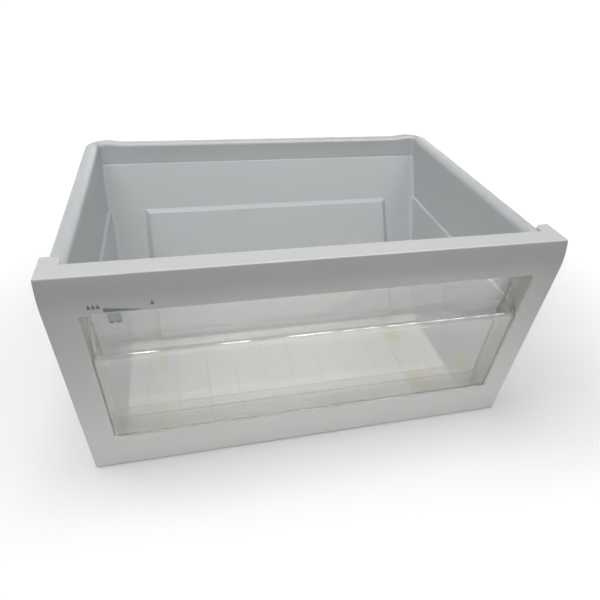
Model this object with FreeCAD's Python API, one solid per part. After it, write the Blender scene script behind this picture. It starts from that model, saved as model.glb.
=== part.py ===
import FreeCAD, Part
import os
from math import asin, atan, cos, sin

os.makedirs("parts", exist_ok=True)
V = FreeCAD.Vector

# Fridge crisper drawer, millimetres, +Z up, the front faces -Y.
# Worked in a frame whose y = 0 is the front frame's top edge, then moved so that
# the origin lies on the floor under the middle of the drawer.

# Whole drawer
front_width = 460.0            # across the front's top edge
front_foot_width = 454.0       # across the front's bottom edge
front_height = 235.0
drawer_depth = 331.7           # from the fullest part of the brow to the back of the rim

# Front frame: one moulded bezel
front_depth = 30.0             # side returns and ears, back from the top edge
skin = 2.2                     # wall of the frame
edge_round = 2.0               # rounding of the frame's outer edges
foot_setback = 1.2             # bottom edge, behind the top edge
brow_reach = 6.1               # fullest part of the brow, ahead of the top edge
brow_drop = 29.5               # from the top edge down to the fullest part
top_edge_lead = 1.0            # top edge's sharp corner, before it is rounded
ledge_depth = 17.7             # flat top of the rail
ear_width = 17.0               # end caps that run back over the rim
ear_round = 8.0
stile_width = 26.5             # upright beside the window opening
bottom_rail = 45.0             # height of the rail under the opening
top_rail = 34.0                # height of the rail over the opening
opening_corner = 3.0
lip_depth = 3.5                # rail's underside, turned in under the brow
return_depth = 5.0             # edge of the opening, turned in
cheek_depth = 22.0             # recess cheeks at the ends of the finger pull
cheek_lean = 0.57              # run over rise of a cheek's back edge
rail_skirt = 23.0              # skin that hangs behind the rail, from the top

# Clear window: one moulding with the finger pull stepped into it
window_wall = 2.2
window_gap = 0.9               # round the window in its opening
window_inset = 0.6             # window face behind the frame's face
pull_height = 48.0             # from the rail's underside down to the pull's shelf
pull_radius = 6.0              # between the shelf and the upper wall
pull_edge_round = 6.0          # bend from the shelf down to the face
foot_reach = 35.0              # foot of the window, back over the bin's sill
window_head_drop = 13.0        # top of the upper wall, under the frame's top
window_flange = 7.5            # seat round the window, past the opening
vent_count = 4
vent_width = 4.0
vent_pitch = 6.8
vent_height = 8.0
vent_sill = 3.5                # over the slider's seat

# Bin: one drafted tub, open at the front
bin_wall = 2.4
bin_front = 25.0               # its front flange, behind the frame's face
sill = 20.0                    # low front wall
sill_lap = 6.0                 # window's apron hangs this far in front of the sill
floor_gap = 0.8                # underside of the floor over the frame's bottom return
rim_drop = 9.0                 # rim under the frame's top
rim_gap = 0.7                  # rim's edge inside the frame's ears
rim_width = 14.4               # top of the rim along the sides
rim_back_width = 10.0          # and along the back
rim_lip = 12.0                 # turned-down edge of the rim
rim_corner = 25.0
rim_inner_round = 7.0
rim_outer_round = 3.0
rim_dip = 2.0                  # back of the rim, below its corners
rim_dip_run = 22.0             # length of the slope down to it
band_height = 26.0             # steeper band at the back, from the rim down to the step
step_width = 1.6               # band set back from the wall under it
band_run = 8.4                 # how far the band leans back
shelf_drop = 48.0              # from the step down to the side walls' shelf
shelf_width = 4.0
upper_draft = 0.02             # run over rise of the side walls over the shelf
side_draft = 0.065             # and under it
back_slope = 0.66              # run over rise of the slanted back wall
corner_round = 5.0             # inside corners at the back
floor_round = 4.0
panel_margin = 46.0            # plain wall beside the raised panel on the back
panel_raise = 4.5
panel_bevel = 6.0              # slope of the panel's edges
rib_pitch = 35.0
rib_margin = 20.0
rib_height = 1.2
rib_width = 2.6
rib_end_gap = 12.0
pad_inset = 40.5               # four glide pads under the floor, in from its sides
pad_end_inset = 26.0           # and in from its ends
pad_width = 15.0
pad_length = 34.0
pad_round = 3.0

# Humidity slider: shutter and thumb tab in one
tab_from_end = 25.5            # in from the opening's left end
tab_lobe = 5.4                 # width of each of the two lobes
tab_drop = 13.0                # below the rail
tab_thickness = 2.0
tab_dish = 0.6                 # hollow in each lobe
tab_border = 1.1
slider_wall = 1.8
shutter_length = 32.0
shutter_height = 15.0
slider_travel = 27.0
slider_clearance = 0.4

# Snap hooks that hold the bin's flange in the frame
hook_count = 3
hook_height = 12.0
hook_catch = 2.0
hook_run = 2.6
fit_gap = 0.5                  # bin's flange inside the frame
seat_gap = 0.3
beyond = 80.0                  # how far cutting shapes run past the part

# Levels and places that follow from these
brow_level = front_height - brow_drop
opening_foot = bottom_rail
opening_head = front_height - top_rail
pull_level = opening_head - pull_height
window_head = front_height - window_head_drop
rim_top = front_height - rim_drop
step_level = rim_top - band_height
shelf_level = step_level - shelf_drop
floor_level = skin + floor_gap + bin_wall
slider_seat = opening_head + skin + seat_gap
slider_top = slider_seat + shutter_height
half_taper = (front_width - front_foot_width) / 2 / front_height
front_lean = (foot_setback + brow_reach) / brow_level
rim_back = drawer_depth - brow_reach
band_back = rim_back - rim_back_width
band_foot = band_back - band_run
window_face = ledge_depth - skin - window_wall    # front of the window's upper wall
origin_y = (rim_back - brow_reach) / 2


def half_width(z):
    return front_foot_width / 2 + half_taper * z


def front_y(z):
    return foot_setback - front_lean * z


def back_y(z):
    # inside of the slanted back wall
    return band_foot - step_width - back_slope * (step_level - z)


def side_x(z):
    # inside of the side walls over the shelf
    return band_half - upper_draft * (rim_top - z)


def band_y(z):
    # inside of the band over the step
    return band_back - band_run * (rim_top - z) / band_height


rim_half = half_width(rim_top) - skin - rim_gap
band_half = rim_half - rim_width
upper_half = side_x(shelf_level)
lower_half = upper_half - shelf_width
floor_half = lower_half - side_draft * (shelf_level - floor_level)
tab_centre = tab_from_end + stile_width - half_width(opening_head)
slider_low = tab_centre - shutter_length / 2
slider_high = slider_low + shutter_length


def side_prism(points, x_low, x_high):
    # outline in the YZ plane, drawn out along X
    corners = [V(x_low, y, z) for y, z in points]
    return Part.Face(Part.makePolygon(corners + corners[:1])).extrude(V(x_high - x_low, 0, 0))


def front_slab(outline, near, far):
    # outline in the XZ plane laid on the leaning front, from one depth to another
    corners = [V(x, front_y(z) + near, z) for x, z in outline]
    return Part.Face(Part.makePolygon(corners + corners[:1])).extrude(V(0, far - near, 0))


def across(inset, low, high):
    # symmetrical outline that keeps its distance from the frame's outer sides
    foot = half_width(low) - inset
    head = half_width(high) - inset
    return [(-foot, low), (foot, low), (head, high), (-head, high)]


def upright(side, inset, width, low, high):
    # strip on one side, from its distance to the frame's outer side inwards
    return [(side * (half_width(low) - inset), low),
            (side * (half_width(low) - inset - width), low),
            (side * (half_width(high) - inset - width), high),
            (side * (half_width(high) - inset), high)]


def between_sides(inset):
    return front_slab(across(inset, -beyond, front_height + beyond), -beyond, 5 * beyond)


def edges_where(shape, test):
    return [edge for edge in shape.Edges if test(edge)]


def box(x, y, z):
    low = V(x[0], y[0], z[0])
    return Part.makeBox(x[1] - x[0], y[1] - y[0], z[1] - z[0], low)


def fuse_all(base, shapes):
    return base.fuse(shapes).removeSplitter()


def brow_circle():
    # runs on from the leaning front without a crease and ends at the top edge
    slope = (1 + front_lean ** 2) ** 0.5
    inwards = V(0, 1 / slope, front_lean / slope)
    full = V(0, front_y(brow_level), brow_level)
    chord = V(0, -top_edge_lead, front_height) - full
    radius = chord.Length ** 2 / 2 / chord.dot(inwards)
    return full, inwards, full + inwards * radius, radius


def frame_block(inset, back):
    # side view of the frame with its bowed brow, drawn out over the front's width
    full, inwards, centre, radius = brow_circle()
    full = full + inwards * inset
    radius = radius - inset
    head = front_height - inset
    top = V(0, centre.y - (radius ** 2 - (head - centre.z) ** 2) ** 0.5, head)
    middle = centre + ((full + top) * 0.5 - centre).normalize() * radius
    foot = V(0, front_y(inset) + inset / inwards.y, inset)
    brow = Part.Arc(full, middle, top).toShape()
    rest = Part.makePolygon([top, V(0, back, head), V(0, back, inset), foot, full])
    view = Part.Face(Part.Wire([brow] + rest.Edges))
    view.translate(V(-front_width, 0, 0))
    return view.extrude(V(2 * front_width, 0, 0)).common(between_sides(inset))


def front_frame():
    body = frame_block(0, front_depth)
    for along in (False, True):
        outline = edges_where(body, lambda e: e.CenterOfMass.y < foot_setback + 1
                              and abs(e.CenterOfMass.z - brow_level) > edge_round
                              and (abs(e.CenterOfMass.x) < 1) == along)
        body = body.makeFillet(edge_round, outline)
    body = body.cut(frame_block(skin, front_depth + beyond))

    # the rail's flat top stops short of the ears, with rounded inner corners
    notch_half = half_width(front_height) - ear_width
    notch = box((-notch_half, notch_half), (ledge_depth, front_depth + beyond),
                (rim_top + seat_gap, front_height + beyond))
    body = body.cut(notch)
    ear_backs = edges_where(body, lambda e: abs(e.CenterOfMass.y - front_depth) < 0.01
                            and abs(abs(e.CenterOfMass.x) - notch_half) < 0.01)
    body = body.makeFillet(ear_round, ear_backs)

    opening = front_slab(across(stile_width, opening_foot, opening_head), -beyond, skin + seat_gap)
    corners = edges_where(opening, lambda e: abs(e.tangentAt(e.FirstParameter).y) > 0.99)
    body = body.cut(opening.makeFillet(opening_corner, corners))

    added = [rail_lip(), rail_back(), opening_return(), slider_guide()]
    for side in (-1, 1):
        added.append(recess_cheek(side))
        added.append(window_standoff(side))
        added += snap_hooks(side)
    body = fuse_all(body, added)
    lip_edge = edges_where(body, lambda e: abs(e.CenterOfMass.z - opening_head) < 0.01
                           and abs(e.CenterOfMass.x) < 1
                           and abs(e.CenterOfMass.y - front_y(opening_head)) < 0.01)
    return body.makeFillet(skin * 0.8, lip_edge)


def rail_lip():
    return front_slab(across(stile_width, opening_head, opening_head + skin), 0, lip_depth)


def rail_back():
    # hangs from the ledge behind the window's upper wall, open where the vents are
    end = half_width(opening_head) - stile_width - window_gap - window_wall - seat_gap
    foot = front_height - rail_skirt
    skirt = box((-end, end), (ledge_depth - skin, ledge_depth), (foot, front_height - skin))
    half = vent_pitch * (vent_count - 1) / 2 + vent_width
    vents_top = slider_seat + vent_sill + vent_height
    return skirt.cut(box((tab_centre - half, tab_centre + half), (0, front_depth), (0, vents_top + skin)))


def opening_return():
    # edge of the opening turned in round the window's face
    outer = front_slab(across(stile_width - skin, opening_foot - skin, pull_level), skin / 2, return_depth)
    inner = front_slab(across(stile_width, opening_foot, pull_level + beyond), -beyond, beyond)
    return outer.cut(inner)


def recess_cheek(side):
    # from nothing at the pull's shelf to its full depth under the rail
    inner = upright(side, stile_width - skin, skin, opening_foot, opening_head + skin)
    wall = front_slab(inner, skin / 2, cheek_depth)
    foot = pull_level - window_wall
    kink = front_y(foot) + skin / 2
    head = front_height + beyond
    behind = [(kink, foot), (kink + cheek_lean * (head - foot), head), (kink + 5 * beyond, head),
              (kink + 5 * beyond, 0), (kink - beyond, 0), (kink - beyond, foot)]
    return wall.cut(side_prism(behind, -front_width, front_width))


def window_standoff(side):
    # rib inside the stile that presses the window's flange on the bin
    reach = bin_front - window_wall
    rib = upright(side, stile_width - window_flange + skin, skin, opening_foot + skin, opening_head - skin)
    return front_slab(rib, skin / 2, reach)


def snap_hooks(side):
    # wedges on the side return, behind the bin's flange
    hooks = []
    catch = bin_front + bin_wall + seat_gap
    for number in range(hook_count):
        z = front_height * (number + 0.7) / (hook_count + 0.6)
        wall = half_width(z) - skin / 2
        tip = half_width(z) - skin - hook_catch
        y = front_y(z) + catch
        view = [V(side * wall, y, z), V(side * tip, y, z), V(side * tip, y + skin / 4, z),
                V(side * (wall - skin / 2), y + hook_run, z), V(side * wall, y + hook_run, z)]
        wedge = Part.Face(Part.makePolygon(view + view[:1])).extrude(V(0, 0, hook_height))
        hooks.append(wedge.common(box((-front_width, front_width), (0, front_depth), (0, front_height))))
    return hooks


def slider_guide():
    # roof and end stops of the channel that the slider runs in
    low = slider_low - slider_clearance
    high = slider_high + slider_travel + slider_clearance
    roof_level = slider_top + seat_gap
    back = window_face - 2 * seat_gap
    front = -brow_reach - skin
    stop_back = front_y(opening_head) + lip_depth + skin
    guide = box((low - skin, high + skin), (front, back), (roof_level, roof_level + slider_wall))
    for x in (low - skin, high):
        stop = box((x, x + skin), (front, stop_back), (opening_head + skin / 2, roof_level))
        guide = guide.fuse(stop)
    return guide.common(frame_block(skin / 2, front_depth))


def window_band():
    # section of the window: face, shelf, hollow of the finger pull and upper wall
    face_foot = V(0, front_y(opening_foot + window_gap) + window_inset, opening_foot + window_gap)
    face_head = V(0, front_y(pull_level) + window_inset, pull_level)
    wall = window_face
    turn = pull_radius * (1 - cos(atan(1)))
    inner = [V(0, wall - pull_radius, pull_level), V(0, wall - turn, pull_level + turn),
             V(0, wall, pull_level + pull_radius)]
    shift = V(0, window_wall, -window_wall)
    outer = [inner[0] + V(0, 0, -window_wall), inner[1] + shift * cos(atan(1)), inner[2] + V(0, window_wall, 0)]
    top_front = V(0, wall, window_head)
    top_back = V(0, wall + window_wall, window_head)
    under = V(0, front_y(pull_level - window_wall) + window_inset + window_wall, pull_level - window_wall)
    inside_foot = face_foot + V(0, window_wall, 0)
    edges = [Part.makeLine(face_foot, face_head), Part.makeLine(face_head, inner[0]),
             Part.Arc(*inner).toShape(), Part.makeLine(inner[2], top_front),
             Part.makeLine(top_front, top_back), Part.makeLine(top_back, outer[2]),
             Part.Arc(outer[2], outer[1], outer[0]).toShape(), Part.makeLine(outer[0], under),
             Part.makeLine(under, inside_foot), Part.makeLine(inside_foot, face_foot)]
    view = Part.Face(Part.Wire(edges))
    view.translate(V(-front_width, 0, 0))
    band = view.extrude(V(2 * front_width, 0, 0))
    brink = edges_where(band, lambda e: (e.CenterOfMass - face_head).Length < 0.01)
    inside = edges_where(band, lambda e: (e.CenterOfMass - under).Length < 0.01)
    return band.makeFillet(pull_edge_round, brink).makeFillet(pull_edge_round - window_wall, inside)


def window_cheek(side):
    # end wall of the window, seated on the bin's flange
    inset = stile_width + window_gap
    wall = front_slab(upright(side, inset, window_wall, opening_foot + window_gap, window_head),
                      window_inset, bin_front)
    foot = pull_level - window_wall
    brink = front_y(foot) + window_inset + pull_edge_round
    head = front_height + beyond
    ahead = [(-beyond, foot), (brink, foot), (brink + cheek_lean * (head - foot), head), (-beyond, head)]
    return wall.cut(side_prism(ahead, -front_width, front_width))


def front_window():
    inset = stile_width + window_gap
    low = opening_foot + window_gap
    high = low + window_wall
    body = window_band().common(between_sides(inset))
    foot = front_slab(across(inset, low, high), window_inset, bin_front)
    lip_half = floor_half + side_draft * (low - floor_level) - fit_gap
    lip = box((-lip_half, lip_half), (bin_front - foot_reach / 4, foot_reach), (low, high))
    flange = front_slab(across(stile_width - window_flange, sill - sill_lap, opening_head),
                        bin_front - window_wall, bin_front)
    clear = front_slab(across(inset + window_wall, high, front_height + beyond), -beyond, beyond)
    body = fuse_all(body, [foot, lip, flange.cut(clear), window_cheek(-1), window_cheek(1)])
    first = tab_centre - vent_pitch * (vent_count - 1) / 2
    for number in range(vent_count):
        body = body.cut(vent_slot(first + vent_pitch * number))
    return body


def vent_slot(x):
    # upright slot with round ends through the window's upper wall
    radius = vent_width / 2
    low = slider_seat + vent_sill + radius
    high = low + vent_height - vent_width
    slot = box((x - radius, x + radius), (0, front_depth), (low, high))
    for z in (low, high):
        slot = slot.fuse(Part.makeCylinder(radius, front_depth, V(x, 0, z), V(0, 1, 0)))
    return slot


def layer(low, high, half_low, half_high, back_low, back_high, radius):
    # one storey of the tub: side view cut to its tapered width, round at the back corners
    view = [(-beyond, low), (back_low, low), (back_high, high), (-beyond, high)]
    plan = [V(-half_low, -beyond, low), V(half_low, -beyond, low),
            V(half_high, -beyond, high), V(-half_high, -beyond, high)]
    width = Part.Face(Part.makePolygon(plan + plan[:1])).extrude(V(0, 2 * drawer_depth, 0))
    block = side_prism(view, -front_width, front_width).common(width)
    corners = edges_where(block, lambda e: e.BoundBox.ZLength > (high - low) / 2 and e.CenterOfMass.y > 0)
    return block.makeFillet(radius, corners)


def tub(grown):
    # inside of the bin, or its outside when grown by the wall
    slant = grown / cos(atan(back_slope))
    radius = corner_round + grown
    floor = floor_level - grown
    shelf = shelf_level - grown
    step = step_level - grown
    top = rim_top if grown else rim_top + beyond
    side = grown * (1 - side_draft)
    lean = grown / cos(atan(band_run / band_height))
    lower = layer(floor, shelf, floor_half + side, lower_half + side,
                  back_y(floor) + slant, back_y(shelf) + slant, radius)
    foot_edges = edges_where(lower, lambda e: abs(e.BoundBox.ZMax - floor) < 0.01
                             and e.CenterOfMass.y > 1 - beyond)
    lower = lower.makeFillet(floor_round + grown, foot_edges).cut(raised_panel(grown))
    upper = layer(shelf, step, side_x(shelf) + grown, side_x(step) + grown,
                  back_y(shelf) + slant, back_y(step) + slant, radius)
    band = layer(step, top, side_x(step) + grown, side_x(top) + grown, band_y(step) + lean, band_y(top) + lean, radius)
    return lower.fuse([upper, band]).removeSplitter()


def raised_panel(grown):
    # plateau with bevelled edges on the slanted back wall, below the shelf
    outlines = []
    for off, spread in ((grown - panel_raise, 0), (grown + panel_raise, 2 * panel_bevel)):
        half = upper_half - panel_margin - panel_bevel - grown + spread
        high = shelf_level - grown + (spread - panel_bevel) / 2
        shift = off / cos(atan(back_slope))
        corners = [V(x, back_y(z) + shift, z) for x, z in ((-half, -beyond), (half, -beyond), (half, high), (-half, high))]
        outlines.append(Part.makePolygon(corners + corners[:1]))
    return Part.makeLoft(outlines, True, True)


def floor_rib(x):
    start = front_y(0) + bin_front + bin_wall + rib_end_gap
    end = back_y(floor_level) - panel_raise - floor_round - rib_end_gap
    half = rib_width / 2
    top = half * 0.6
    view = [V(x - half, start, floor_level - rib_height), V(x - half, start, floor_level),
            V(x - top, start, floor_level + rib_height), V(x + top, start, floor_level + rib_height),
            V(x + half, start, floor_level), V(x + half, start, floor_level - rib_height)]
    return Part.Face(Part.makePolygon(view + view[:1])).extrude(V(0, end - start, 0))


def glide_pad(x, y):
    # under the floor, level with the frame's bottom edge
    pad = box((x - pad_width / 2, x + pad_width / 2), (y - pad_length / 2, y + pad_length / 2),
              (0, floor_level - bin_wall / 2))
    return pad.makeFillet(pad_round, edges_where(pad, lambda e: e.BoundBox.ZLength > 1))


def bin_flange():
    # front edge of the bin, spread out inside the frame
    edge = skin + fit_gap
    foot = skin + seat_gap
    sheet = front_slab(across(edge, foot, rim_top - bin_wall / 2), bin_front, bin_front + bin_wall)
    way_in = tub(0).common(box((-front_width, front_width), (-beyond, drawer_depth), (sill, drawer_depth)))
    return sheet.cut(way_in)


def rim_hollow(level):
    # what is cut from the back of the rim so that it dips between its corners
    end = rim_half - rim_corner
    flat = end - rim_dip_run
    radius = (rim_dip_run ** 2 + rim_dip ** 2) / 4 / rim_dip
    turn = asin(rim_dip_run / 2 / radius) / 2
    over, down = radius * sin(turn), radius * (1 - cos(turn))
    edges = []
    for side in (-1, 1):
        crest = V(side * end, band_foot, level)
        middle = V(side * (end + flat) / 2, band_foot, level - rim_dip / 2)
        foot = V(side * flat, band_foot, level - rim_dip)
        edges.append(Part.Arc(crest, crest - V(side * over, 0, down), middle).toShape())
        edges.append(Part.Arc(middle, foot + V(side * over, 0, down), foot).toShape())
    left, right = V(-flat, band_foot, level - rim_dip), V(flat, band_foot, level - rim_dip)
    above = V(0, 0, beyond)
    edges.append(Part.makeLine(left, right))
    edges += Part.makePolygon([V(-end, band_foot, level), V(-end, band_foot, level) + above,
                               V(end, band_foot, level) + above, V(end, band_foot, level)]).Edges
    outline = Part.Face(Part.Wire(Part.__sortEdges__(edges)))
    return outline.extrude(V(0, beyond, 0))


def drawer_bin():
    foot = rim_top - rim_lip
    under = rim_top - bin_wall
    inner = rim_half - bin_wall
    rim = layer(foot, rim_top, rim_half, rim_half, rim_back, rim_back, rim_corner)
    channel = layer(foot - beyond, under, inner, inner, rim_back - bin_wall, rim_back - bin_wall,
                    rim_corner - bin_wall).cut(rim_hollow(under))
    body = rim.cut(channel).fuse(tub(bin_wall)).cut([tub(0), rim_hollow(rim_top)]).removeSplitter()

    def along_rim(edge, level):
        box = edge.BoundBox
        return level - rim_dip - 0.01 < box.ZMin and box.ZMax < level + 0.01 and edge.CenterOfMass.y > 1 - beyond

    def beside_mouth(edge):
        return abs(edge.CenterOfMass.x) < band_half + bin_wall + 0.1 and edge.CenterOfMass.y < band_back + bin_wall + 0.1

    root = edges_where(body, lambda e: along_rim(e, under) and beside_mouth(e) and not along_rim(e, rim_top))
    body = body.makeFillet(rim_inner_round - bin_wall, root)
    brink = edges_where(body, lambda e: along_rim(e, rim_top) and beside_mouth(e))
    body = body.makeFillet(rim_inner_round, brink)
    edge = edges_where(body, lambda e: along_rim(e, rim_top) and not beside_mouth(e))
    body = body.makeFillet(rim_outer_round, edge)
    ahead = front_slab(across(-beyond, -beyond, front_height + beyond), -drawer_depth, bin_front)
    body = body.cut(ahead)
    beside = int((floor_half - rib_margin) / rib_pitch)
    ribs = [floor_rib(number * rib_pitch) for number in range(-beside, beside + 1)]
    pads = []
    for side in (-1, 1):
        x = side * (floor_half - pad_inset)
        pads.append(glide_pad(x, front_y(0) + bin_front + bin_wall + pad_end_inset))
        pads.append(glide_pad(x, back_y(floor_level) - pad_end_inset))
    return fuse_all(body, [bin_flange()] + ribs + pads)


def tab_lobes(inset, y):
    # two lobes side by side, round below and flat at the top
    radius = tab_lobe / 2 - inset
    lobes = []
    for side in (-1, 1):
        x = tab_centre + side * tab_lobe / 2
        z = opening_head - tab_drop + tab_lobe / 2
        left, right = V(x - radius, y, z), V(x + radius, y, z)
        bow = Part.Arc(left, V(x, y, z - radius), right).toShape()
        sides = Part.makePolygon([right, V(x + radius, y, slider_seat), V(x - radius, y, slider_seat), left])
        lobes.append(Part.Face(Part.Wire([bow] + sides.Edges)))
    return lobes


def humidity_slider():
    tab_front = front_y(opening_head) + lip_depth + slider_clearance
    back = window_face - slider_clearance
    front = front_y(opening_head) + skin + slider_clearance
    web = box((slider_low, slider_high), (front, back), (slider_seat, slider_seat + slider_wall))
    shutter = box((slider_low, slider_high), (back - slider_wall, back), (slider_seat, slider_top))
    tab = [lobe.extrude(V(0, tab_thickness, 0)) for lobe in tab_lobes(0, tab_front)]
    dishes = [lobe.extrude(V(0, tab_dish, 0)) for lobe in tab_lobes(tab_border, tab_front)]
    return fuse_all(web, [shutter] + tab).cut(dishes).removeSplitter()


def export(name, shape):
    shape.translate(V(0, -origin_y, 0))
    solids = shape.Solids
    shape = solids[0] if len(solids) == 1 else Part.makeCompound(solids)
    print(name, len(solids), "solid", shape.isValid(), round(shape.Volume / 1000, 1), "cm3")
    shape.exportStep("parts/" + name + ".step")


export("drawer_bin", drawer_bin())
export("front_frame", front_frame())
export("front_window", front_window())
export("humidity_slider", humidity_slider())
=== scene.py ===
import math
import bpy
from mathutils import Matrix, Vector


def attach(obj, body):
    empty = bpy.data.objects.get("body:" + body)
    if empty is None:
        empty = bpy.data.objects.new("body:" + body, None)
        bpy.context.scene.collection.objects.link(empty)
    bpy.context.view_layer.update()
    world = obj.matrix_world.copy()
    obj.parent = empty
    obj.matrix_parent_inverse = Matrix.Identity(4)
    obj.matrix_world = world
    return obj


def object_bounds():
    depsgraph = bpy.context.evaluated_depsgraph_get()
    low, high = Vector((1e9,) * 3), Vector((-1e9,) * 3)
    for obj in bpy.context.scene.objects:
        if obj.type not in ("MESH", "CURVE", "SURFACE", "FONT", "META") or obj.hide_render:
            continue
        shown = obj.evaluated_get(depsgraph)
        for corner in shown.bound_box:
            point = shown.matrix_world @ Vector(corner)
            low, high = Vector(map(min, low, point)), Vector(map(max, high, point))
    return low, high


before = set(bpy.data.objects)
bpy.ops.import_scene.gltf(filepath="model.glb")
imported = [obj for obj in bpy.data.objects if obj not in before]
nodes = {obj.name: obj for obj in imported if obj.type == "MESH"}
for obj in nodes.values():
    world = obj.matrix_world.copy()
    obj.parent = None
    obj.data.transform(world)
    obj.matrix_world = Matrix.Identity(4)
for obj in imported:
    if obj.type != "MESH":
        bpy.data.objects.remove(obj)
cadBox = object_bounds()
bpy.context.scene.view_settings.view_transform = "Standard"
print("frame loaded:", ", ".join(sorted(nodes)))

mm = 0.001
white = (1, 1, 1, 1)


def linear(hexColour):  # sRGB hex to the linear values that a socket takes
    channels = [int(hexColour[i:i + 2], 16) / 255 for i in (1, 3, 5)]
    return [c / 12.92 if c <= 0.04045 else ((c + 0.055) / 1.055) ** 2.4 for c in channels] + [1.0]


def addNode(tree, kind, settings=None, links=None):
    node = tree.nodes.new(kind)
    for name, value in (settings or {}).items():
        if isinstance(name, int) or name in node.inputs:
            node.inputs[name].default_value = value
        else:
            setattr(node, name, value)
    for name, socket in (links or {}).items():
        tree.links.new(socket, node.inputs[name])
    return node


def startMaterial(name):
    material = bpy.data.materials.new(name)
    material.use_nodes = True
    tree = material.node_tree
    tree.nodes.clear()
    place = addNode(tree, "ShaderNodeTexCoord").outputs["Object"]
    return material, tree, place


def finishMaterial(tree, shader):
    addNode(tree, "ShaderNodeOutputMaterial", links={"Surface": shader.outputs[0]})


def dress(node, material):
    for slot in nodes[node].material_slots:
        slot.material = material


# front frame: ABS, moulded with a fine satin grain
frameLook = {"colour": "#cccdca", "cloudy": "#c5c7c4", "cloudSize": 70 * mm, "rough": (0.38, 0.5),
             "ior": 1.53,
             # the grain is drawn coarser than real, to show
             "grainSize": 0.9 * mm, "grainDepth": 0.02 * mm, "grainStrength": 0.35,
             # painted shade: a dark tone laid into the crevices and gaps that the occlusion mask finds closed
             # in
             "creviceShade": "#55544f", "crevice": 5 * mm, "creviceOpen": (0.08, 0.4), "creviceShadeShare": 0.9,
             # painted contact shadow: a dark band along the frame's foot, just above the floor
             "footShadow": "#6e6e69", "footShadowHeight": (1 * mm, 2.4 * mm), "footShadowShare": 0.85}


def frameAbs():
    # opaque grey-white, softly glossy, slightly uneven, with painted shade in the gaps and a painted contact
    # shadow along its foot
    look = frameLook
    material, tree, place = startMaterial("absMouldedSatin")
    cloud = addNode(tree, "ShaderNodeTexNoise", {"Scale": 1 / look["cloudSize"], "Detail": 3.0},
                    {"Vector": place})
    tone = addNode(tree, "ShaderNodeMix",
                   {"data_type": "RGBA", 6: linear(look["colour"]), 7: linear(look["cloudy"])},
                   {0: cloud.outputs["Fac"]})
    # painted shade: the occlusion mask darkens crevices and gaps
    corner = addNode(tree, "ShaderNodeAmbientOcclusion", {"Distance": look["crevice"], "samples": 8})
    creviceShadeMask = addNode(tree, "ShaderNodeMapRange",
                   {"From Min": look["creviceOpen"][0], "From Max": look["creviceOpen"][1],
                    "To Min": look["creviceShadeShare"], "To Max": 0.0}, {"Value": corner.outputs["AO"]})
    creviceShaded = addNode(tree, "ShaderNodeMix", {"data_type": "RGBA", 7: linear(look["creviceShade"])},
                    {0: creviceShadeMask.outputs["Result"], 6: tone.outputs[2]})
    # painted contact shadow: darker towards the foot, fading out 2.4 mm up the frame
    axes = addNode(tree, "ShaderNodeSeparateXYZ", links={"Vector": place})
    foot = addNode(tree, "ShaderNodeMapRange",
                   {"From Min": look["footShadowHeight"][0], "From Max": look["footShadowHeight"][1],
                    "To Min": look["footShadowShare"], "To Max": 0.0}, {"Value": axes.outputs["Z"]})
    footShadow = addNode(tree, "ShaderNodeMix", {"data_type": "RGBA", 7: linear(look["footShadow"])},
                      {0: foot.outputs["Result"], 6: creviceShaded.outputs[2]})
    rough = addNode(tree, "ShaderNodeMapRange", {"To Min": look["rough"][0], "To Max": look["rough"][1]},
                    {"Value": cloud.outputs["Fac"]})
    grain = addNode(tree, "ShaderNodeTexNoise", {"Scale": 1 / look["grainSize"], "Detail": 1.0},
                    {"Vector": place})
    bump = addNode(tree, "ShaderNodeBump",
                   {"Strength": look["grainStrength"], "Distance": look["grainDepth"]},
                   {"Height": grain.outputs["Fac"]})
    shader = addNode(tree, "ShaderNodeBsdfPrincipled", {"IOR": look["ior"]},
                     {"Base Color": footShadow.outputs[2], "Roughness": rough.outputs["Result"],
                      "Normal": bump.outputs["Normal"]})
    finishMaterial(tree, shader)
    return material


# bin: polystyrene, moulded in a polished tool
binLook = {"colour": "#bfc2c4", "cloudy": "#b9bdbe", "cloudSize": 120 * mm, "rough": (0.34, 0.48),
           "ior": 1.59, "gloss": 0.3, "milk": 0.6, "milkDepth": 6 * mm,
           # painted light: the floor, low in the tub, is given a paler tone for the extra light falling on it
           "floor": "#dcdddc", "litFloorTop": (6 * mm, 9 * mm),
           # painted shadow: the strip of floor behind the window is darkened where the front of the drawer
           # shades it
           "frontShadow": "#c2c1b6", "frontShadowEnd": (-96 * mm, -87 * mm), "frontShadowTop": (40 * mm, 52 * mm),
           "frontShadowShare": 0.6,
           "scuffSize": 14 * mm, "scuffDepth": 0.02 * mm, "scuffStrength": 0.2,
           "stain": "#cbb873", "streakSize": 3 * mm, "streakShare": 0.35, "stainEdge": (0.85, 1.35),
           # where the glide pads under the floor and a spill have yellowed it: centre, half size, strength
           "stains": [((-160, -110, 4), (8, 18, 7), 0.7), ((-161, -20, 4), (8, 17, 7), 0.3),
                      ((152, -12, 4), (8, 18, 7), 0.65), ((154, -106, 4), (9, 18, 7), 0.8),
                      ((199, -113, 32), (7, 13, 16), 0.5)]}


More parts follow.
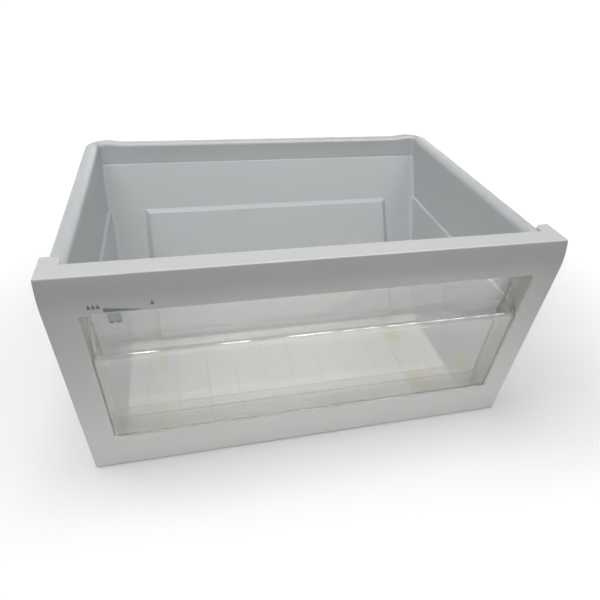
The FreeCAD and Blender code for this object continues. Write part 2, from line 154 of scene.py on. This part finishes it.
def binStyrene():
    # milky white with a soft gloss and yellowed patches; painted light makes the floor paler, and a painted
    # shadow darkens the strip of floor behind the window
    look = binLook
    material, tree, place = startMaterial("polystyreneMoulded")
    cloud = addNode(tree, "ShaderNodeTexNoise", {"Scale": 1 / look["cloudSize"], "Detail": 3.0},
                    {"Vector": place})
    tone = addNode(tree, "ShaderNodeMix",
                   {"data_type": "RGBA", 6: linear(look["colour"]), 7: linear(look["cloudy"])},
                   {0: cloud.outputs["Fac"]})
    ragged = addNode(tree, "ShaderNodeTexNoise", {"Scale": 1 / look["streakSize"], "Detail": 2.0},
                     {"Vector": place})
    axes = addNode(tree, "ShaderNodeSeparateXYZ", links={"Vector": place})
    # painted light: the bin's floor is mixed towards a paler tone for the light falling on it
    litFloorMask = addNode(tree, "ShaderNodeMapRange",
                     {"From Min": look["litFloorTop"][0], "From Max": look["litFloorTop"][1],
                      "To Min": 1.0, "To Max": 0.0}, {"Value": axes.outputs["Z"]})
    pale = addNode(tree, "ShaderNodeMix", {"data_type": "RGBA", 7: linear(look["floor"])},
                   {0: litFloorMask.outputs["Result"], 6: tone.outputs[2]})
    # painted shadow: the floor's front strip, low behind the window, is darkened
    front = addNode(tree, "ShaderNodeMapRange",
                    {"interpolation_type": "SMOOTHSTEP", "From Min": look["frontShadowEnd"][0],
                     "From Max": look["frontShadowEnd"][1], "To Min": look["frontShadowShare"], "To Max": 0.0},
                    {"Value": axes.outputs["Y"]})
    low = addNode(tree, "ShaderNodeMapRange",
                  {"interpolation_type": "SMOOTHSTEP", "From Min": look["frontShadowTop"][0],
                   "From Max": look["frontShadowTop"][1], "To Min": 1.0, "To Max": 0.0},
                  {"Value": axes.outputs["Z"]})
    frontShadow = addNode(tree, "ShaderNodeMath", {"operation": "MULTIPLY"},
                   {0: front.outputs["Result"], 1: low.outputs["Result"]})
    frontShadowed = addNode(tree, "ShaderNodeMix", {"data_type": "RGBA", 7: linear(look["frontShadow"])},
                     {0: frontShadow.outputs["Value"], 6: pale.outputs[2]})
    colour = frontShadowed.outputs[2]
    for centre, size, strength in look["stains"]:
        patch = addNode(tree, "ShaderNodeMapping",
                        {"vector_type": "TEXTURE", "Location": [c * mm for c in centre],
                         "Scale": [s * mm for s in size]}, {"Vector": place})
        out = addNode(tree, "ShaderNodeVectorMath", {"operation": "ABSOLUTE"}, {0: patch.outputs["Vector"]})
        sides = addNode(tree, "ShaderNodeSeparateXYZ", links={"Vector": out.outputs["Vector"]})
        flat = addNode(tree, "ShaderNodeMath", {"operation": "MAXIMUM"},
                       {0: sides.outputs["X"], 1: sides.outputs["Y"]})
        reach = addNode(tree, "ShaderNodeMath", {"operation": "MAXIMUM"},
                        {0: flat.outputs["Value"], 1: sides.outputs["Z"]})
        uneven = addNode(tree, "ShaderNodeMath", {"operation": "MULTIPLY_ADD", 1: look["streakShare"]},
                         {0: ragged.outputs["Fac"], 2: reach.outputs["Value"]})
        amount = addNode(tree, "ShaderNodeMapRange",
                         {"interpolation_type": "SMOOTHSTEP", "From Min": look["stainEdge"][0],
                          "From Max": look["stainEdge"][1], "To Min": strength, "To Max": 0.0},
                         {"Value": uneven.outputs["Value"]})
        stained = addNode(tree, "ShaderNodeMix", {"data_type": "RGBA", 7: linear(look["stain"])},
                          {0: amount.outputs["Result"], 6: colour})
        colour = stained.outputs[2]
    rough = addNode(tree, "ShaderNodeMapRange", {"To Min": look["rough"][0], "To Max": look["rough"][1]},
                    {"Value": cloud.outputs["Fac"]})
    scuff = addNode(tree, "ShaderNodeTexNoise", {"Scale": 1 / look["scuffSize"], "Detail": 2.0},
                    {"Vector": place})
    bump = addNode(tree, "ShaderNodeBump",
                   {"Strength": look["scuffStrength"], "Distance": look["scuffDepth"]},
                   {"Height": scuff.outputs["Fac"]})
    shader = addNode(tree, "ShaderNodeBsdfPrincipled",
                     {"IOR": look["ior"], "Specular IOR Level": look["gloss"],
                      "Subsurface Weight": look["milk"], "Subsurface Radius": (1, 1, 1),
                      "Subsurface Scale": look["milkDepth"]},
                     {"Base Color": colour, "Roughness": rough.outputs["Result"],
                      "Normal": bump.outputs["Normal"]})
    finishMaterial(tree, shader)
    return material


# window: clear styrene, polished mould
windowLook = {"colour": "#f4f3ef", "clear": 0.91, "cover": 0.8, "ior": 1.5,
              "rough": (0.02, 0.08), "smearSize": 35 * mm, "smearFrom": 0.4, "smearTo": 0.8,
              "waveSize": 30 * mm, "waveDepth": 0.1 * mm, "waveStrength": 0.2}


def windowStyrene():
    # clear with the milky veil of age, sharp reflections dulled by wiping smears
    look = windowLook
    material, tree, place = startMaterial("styreneClearPolished")
    smear = addNode(tree, "ShaderNodeTexNoise",
                    {"Scale": 1 / look["smearSize"], "Detail": 5.0, "Distortion": 0.6}, {"Vector": place})
    rough = addNode(tree, "ShaderNodeMapRange",
                    {"From Min": look["smearFrom"], "From Max": look["smearTo"],
                     "To Min": look["rough"][0], "To Max": look["rough"][1]}, {"Value": smear.outputs["Fac"]})
    wave = addNode(tree, "ShaderNodeTexNoise", {"Scale": 1 / look["waveSize"], "Detail": 1.0},
                   {"Vector": place})
    bump = addNode(tree, "ShaderNodeBump", {"Strength": look["waveStrength"], "Distance": look["waveDepth"]},
                   {"Height": wave.outputs["Fac"]})
    shader = addNode(tree, "ShaderNodeBsdfPrincipled",
                     {"IOR": look["ior"], "Transmission Weight": look["clear"], "Alpha": look["cover"],
                      "Base Color": linear(look["colour"])},
                     {"Roughness": rough.outputs["Result"], "Normal": bump.outputs["Normal"]})
    finishMaterial(tree, shader)
    return material


# humidity slider: ABS, moulded a shade darker
sliderLook = {"colour": "#bbbdba", "cloudy": "#b0b3b1", "cloudSize": 9 * mm, "rough": (0.32, 0.48),
              "ior": 1.53,
              # the grain is drawn coarser than real, to show
              "grainSize": 0.8 * mm, "grainDepth": 0.02 * mm, "grainStrength": 0.3,
              # painted shade: a darker tone laid into the dish's corners by the occlusion mask
              "creviceShade": "#77777a", "crevice": 1.2 * mm, "creviceOpen": (0.3, 0.8), "creviceShadeShare": 0.8}


def sliderAbs():
    # plain grey satin, rubbed slightly shinier by thumbs, with painted shade darkening the dish's corners
    look = sliderLook
    material, tree, place = startMaterial("absMouldedGrey")
    cloud = addNode(tree, "ShaderNodeTexNoise", {"Scale": 1 / look["cloudSize"], "Detail": 3.0},
                    {"Vector": place})
    tone = addNode(tree, "ShaderNodeMix",
                   {"data_type": "RGBA", 6: linear(look["colour"]), 7: linear(look["cloudy"])},
                   {0: cloud.outputs["Fac"]})
    # painted shade: the occlusion mask darkens the dish's corners
    corner = addNode(tree, "ShaderNodeAmbientOcclusion", {"Distance": look["crevice"], "samples": 8})
    creviceShadeMask = addNode(tree, "ShaderNodeMapRange",
                   {"From Min": look["creviceOpen"][0], "From Max": look["creviceOpen"][1],
                    "To Min": look["creviceShadeShare"], "To Max": 0.0}, {"Value": corner.outputs["AO"]})
    creviceShaded = addNode(tree, "ShaderNodeMix", {"data_type": "RGBA", 7: linear(look["creviceShade"])},
                    {0: creviceShadeMask.outputs["Result"], 6: tone.outputs[2]})
    rough = addNode(tree, "ShaderNodeMapRange", {"To Min": look["rough"][0], "To Max": look["rough"][1]},
                    {"Value": cloud.outputs["Fac"]})
    grain = addNode(tree, "ShaderNodeTexNoise", {"Scale": 1 / look["grainSize"]}, {"Vector": place})
    bump = addNode(tree, "ShaderNodeBump",
                   {"Strength": look["grainStrength"], "Distance": look["grainDepth"]},
                   {"Height": grain.outputs["Fac"]})
    shader = addNode(tree, "ShaderNodeBsdfPrincipled", {"IOR": look["ior"]},
                     {"Base Color": creviceShaded.outputs[2], "Roughness": rough.outputs["Result"],
                      "Normal": bump.outputs["Normal"]})
    finishMaterial(tree, shader)
    return material


dress("front_frame", frameAbs())
dress("drawer_bin", binStyrene())
dress("front_window", windowStyrene())
dress("humidity_slider", sliderAbs())
print("finishes on", len(nodes), "moulded pieces")

# signs on the rail: a wedge that narrows to the right and plain drops, thin ink
markLook = {"colour": "#6f797c", "worn": "#8a9395", "speckSize": 1.2 * mm, "wornFrom": 0.45, "wornTo": 0.75,
            "rough": (0.45, 0.6), "ior": 1.5, "ahead": -180 * mm, "lift": 0.05 * mm, "thick": 0.06 * mm,
            # corners of the wedge, in mm: x and z
            "wedge": [(-184, 203.0), (-156, 203.0), (-184, 207.2), (-156, 203.6)],
            # middles of the drops, in mm: x and z
            "drops": [(-194.4, 208.2), (-190.9, 208.2), (-187.4, 208.2), (-146.8, 208.2)],
            "dropRadius": 1.5 * mm, "dropSides": 24, "tip": 2.3, "shoulder": math.radians(64), "crest": 0.01}


def printInk():
    # flat grey-blue ink, thin in places
    look = markLook
    material, tree, place = startMaterial("inkPadPrinted")
    speck = addNode(tree, "ShaderNodeTexNoise", {"Scale": 1 / look["speckSize"], "Detail": 2.0},
                    {"Vector": place})
    worn = addNode(tree, "ShaderNodeMapRange", {"From Min": look["wornFrom"], "From Max": look["wornTo"]},
                   {"Value": speck.outputs["Fac"]})
    tone = addNode(tree, "ShaderNodeMix",
                   {"data_type": "RGBA", 6: linear(look["colour"]), 7: linear(look["worn"])},
                   {0: worn.outputs["Result"]})
    rough = addNode(tree, "ShaderNodeMapRange", {"To Min": look["rough"][0], "To Max": look["rough"][1]},
                    {"Value": speck.outputs["Fac"]})
    shader = addNode(tree, "ShaderNodeBsdfPrincipled", {"IOR": look["ior"]},
                     {"Base Color": tone.outputs[2], "Roughness": rough.outputs["Result"]})
    finishMaterial(tree, shader)
    return material


def layOnRail(mark, name, ink):
    # flat sheet in front of the rail, pressed back on its bowed face
    mark.name = name
    mark.data.name = name
    bpy.ops.object.transform_apply(location=True, rotation=True, scale=True)
    wrap = mark.modifiers.new("wrap", "SHRINKWRAP")
    wrap.target = nodes["front_frame"]
    wrap.wrap_method = "PROJECT"
    wrap.use_project_y = True
    wrap.use_positive_direction = True
    wrap.use_negative_direction = False
    wrap.wrap_mode = "ABOVE_SURFACE"
    wrap.offset = markLook["lift"]
    bpy.ops.object.modifier_apply(modifier="wrap")
    film = mark.modifiers.new("film", "SOLIDIFY")
    film.thickness = markLook["thick"]
    film.offset = 0
    bpy.ops.object.modifier_apply(modifier="film")
    mark.data.materials.append(ink)
    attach(mark, "drawer")


ink = printInk()
bpy.ops.object.select_all(action="DESELECT")
bpy.ops.mesh.primitive_plane_add(size=1, location=(0, 0, 0))
wedge = bpy.context.object
for vertex, (x, z) in zip(wedge.data.vertices, markLook["wedge"]):
    vertex.co = (x * mm, markLook["ahead"], z * mm)
layOnRail(wedge, "signWedge", ink)
for number, (x, z) in enumerate(markLook["drops"]):
    bpy.ops.object.select_all(action="DESELECT")
    bpy.ops.mesh.primitive_circle_add(vertices=markLook["dropSides"], radius=markLook["dropRadius"],
                                      fill_type="NGON", location=(x * mm, markLook["ahead"], z * mm),
                                      rotation=(math.pi / 2, 0, 0))
    drop = bpy.context.object
    bpy.ops.object.mode_set(mode="EDIT")
    bpy.ops.mesh.select_mode(type="VERT")
    bpy.ops.mesh.select_all(action="DESELECT")
    bpy.ops.object.mode_set(mode="OBJECT")
    for vertex in drop.data.vertices:
        turn = abs(math.atan2(vertex.co.x, vertex.co.y))
        vertex.select = markLook["crest"] < turn < markLook["shoulder"]
        if turn < markLook["crest"]:
            vertex.co.y = markLook["dropRadius"] * markLook["tip"]
    bpy.ops.object.mode_set(mode="EDIT")
    bpy.ops.mesh.dissolve_verts()
    bpy.ops.object.mode_set(mode="OBJECT")
    layOnRail(drop, "signDrop%d" % (number + 1), ink)
print("signs printed on the rail")

# studio: pale floor that runs on to white, soft light from above and the left, low card in front
studio = {"floorSize": 12.0, "near": "#e8e8e8", "far": "#606060", "lift": 0.19,
          "whiteMiddle": (0.06, 0.05, 0), "whiteFrom": 0.3, "whiteTo": 0.66, "sky": 0.13,
          "gritSize": 4 * mm, "rough": (0.85, 0.95), "sheen": 0.1,
          # soft lamps: place, what they point at, size, power
          "lamps": {"overheadSoftbox": ((0.02, 0.08, 1.9), (0.02, 0.08, 0), (0.6, 0.5), 9.5),
                    "keySoftbox": ((-0.7, 0.02, 1.6), (0, 0, 0.1), (0.9, 0.9), 11.0),
                    "rightSoftbox": ((0.9, -0.1, 1.5), (0.1, 0, 0.1), (0.8, 0.4), 3.5),
                    "frontCard": ((0.0, -0.4, 0.03), (0, -0.16, 0.03), (0.8, 0.05), 0.52),
                    "rearFill": ((0.25, 1.2, 0.32), (0, 0.1, 0.1), (1.2, 0.4), 4.0)},
          # ceiling tubes that only show as glints in the polished window: x, width, power
          "tubes": [(-0.32, 0.085, 5.5), (0.04, 0.11, 7.0), (0.33, 0.135, 8.5)],
          "tubeLine": (-0.43, 1.7), "tubeReach": 0.5,
          "louvres": 9, "louvreFrom": 0.42, "louvrePitch": 0.105, "louvreWidth": 0.06, "louvrePower": 3.0}


def seenByEye(tree):
    # camera, mirror and see-through rays, which meet the white surroundings
    path = addNode(tree, "ShaderNodeLightPath")
    mirrored = addNode(tree, "ShaderNodeMath", {"operation": "MAXIMUM"},
                       {0: path.outputs["Is Camera Ray"], 1: path.outputs["Is Glossy Ray"]})
    through = addNode(tree, "ShaderNodeMath", {"operation": "MAXIMUM"},
                      {0: mirrored.outputs["Value"], 1: path.outputs["Is Transmission Ray"]})
    return through.outputs["Value"]


def studioFloor():
    # matt paper, white to the eye further off
    material, tree, place = startMaterial("paperBackdrop")
    aside = addNode(tree, "ShaderNodeVectorMath", {"operation": "SUBTRACT", 1: studio["whiteMiddle"]},
                    {0: place})
    away = addNode(tree, "ShaderNodeVectorMath", {"operation": "LENGTH"}, {0: aside.outputs["Vector"]})
    distance = addNode(tree, "ShaderNodeMapRange",
                       {"interpolation_type": "SMOOTHSTEP", "From Min": studio["whiteFrom"],
                        "From Max": studio["whiteTo"]}, {"Value": away.outputs["Value"]})
    shade = addNode(tree, "ShaderNodeMix",
                    {"data_type": "RGBA", 6: linear(studio["near"]), 7: linear(studio["far"])},
                    {0: distance.outputs["Result"]})
    grit = addNode(tree, "ShaderNodeTexNoise", {"Scale": 1 / studio["gritSize"], "Detail": 2.0},
                   {"Vector": place})
    rough = addNode(tree, "ShaderNodeMapRange", {"To Min": studio["rough"][0], "To Max": studio["rough"][1]},
                    {"Value": grit.outputs["Fac"]})
    paper = addNode(tree, "ShaderNodeBsdfPrincipled", {"Specular IOR Level": studio["sheen"]},
                    {"Base Color": shade.outputs[2], "Roughness": rough.outputs["Result"]})
    whiteness = addNode(tree, "ShaderNodeMapRange", {"To Min": studio["lift"], "To Max": 1.0},
                        {"Value": distance.outputs["Result"]})
    share = addNode(tree, "ShaderNodeMath", {"operation": "MULTIPLY"},
                    {0: seenByEye(tree), 1: whiteness.outputs["Result"]})
    glow = addNode(tree, "ShaderNodeEmission", {"Color": white}, {"Strength": share.outputs["Value"]})
    both = addNode(tree, "ShaderNodeAddShader", links={0: paper.outputs[0], 1: glow.outputs[0]})
    finishMaterial(tree, both)
    return material


bpy.ops.object.select_all(action="DESELECT")
bpy.ops.mesh.primitive_plane_add(size=studio["floorSize"], location=(0, 0, cadBox[0][2]))
floor = bpy.context.object
floor.name = "studioFloor"
bpy.ops.object.transform_apply(location=True, rotation=False, scale=False)
floor.data.materials.append(studioFloor())

world = bpy.data.worlds.new("studioSky")
bpy.context.scene.world = world
world.use_nodes = True
skyTree = world.node_tree
skyTree.nodes.clear()
skyStrength = addNode(skyTree, "ShaderNodeMapRange", {"To Min": studio["sky"], "To Max": 1.0},
                      {"Value": seenByEye(skyTree)})
sky = addNode(skyTree, "ShaderNodeBackground", {"Color": white}, {"Strength": skyStrength.outputs["Result"]})
addNode(skyTree, "ShaderNodeOutputWorld", links={"Surface": sky.outputs[0]})


def addLamp(name, place, target, size, power):
    bpy.ops.object.light_add(type="AREA", location=place)
    lamp = bpy.context.object
    lamp.name = name
    lamp.data.shape = "RECTANGLE"
    lamp.data.size, lamp.data.size_y = size
    lamp.data.energy = power
    lamp.visible_camera = False
    lamp.rotation_euler = (Vector(target) - Vector(place)).to_track_quat("-Z", "Y").to_euler()
    return lamp


def addGlint(name, x, width, power):
    along, height = studio["tubeLine"]
    lamp = addLamp(name, (x, along, height), (x, along, 0), (width, studio["tubeReach"]), power)
    lamp.visible_diffuse = False


for name, lampFacts in studio["lamps"].items():
    addLamp(name, *lampFacts)
for number, (x, width, power) in enumerate(studio["tubes"]):
    addGlint("tube%d" % (number + 1), x, width, power)
for number in range(studio["louvres"]):
    addGlint("louvre%d" % (number + 1), studio["louvreFrom"] + studio["louvrePitch"] * number,
             studio["louvreWidth"], studio["louvrePower"])
print("studio set:", len(studio["lamps"]), "soft lamps")

# camera solved from the drawer's straight edges in the photograph
view = {"place": (-0.11505, -0.49120, 0.44902), "yaw": 0.26704, "pitch": 0.64055, "roll": 0.07004,
        "lens": 29.486, "nearest": 0.01}
bpy.ops.object.camera_add(location=view["place"])
camera = bpy.context.object
camera.data.lens = view["lens"]
camera.data.sensor_fit = "HORIZONTAL"
camera.data.clip_start = view["nearest"]
level = math.cos(view["pitch"])
ahead = Vector((math.sin(view["yaw"]) * level, math.cos(view["yaw"]) * level, -math.sin(view["pitch"])))
aim = ahead.to_track_quat("-Z", "Y").to_matrix() @ Matrix.Rotation(view["roll"], 3, "Z")
camera.rotation_euler = aim.to_euler()
bpy.context.scene.camera = camera
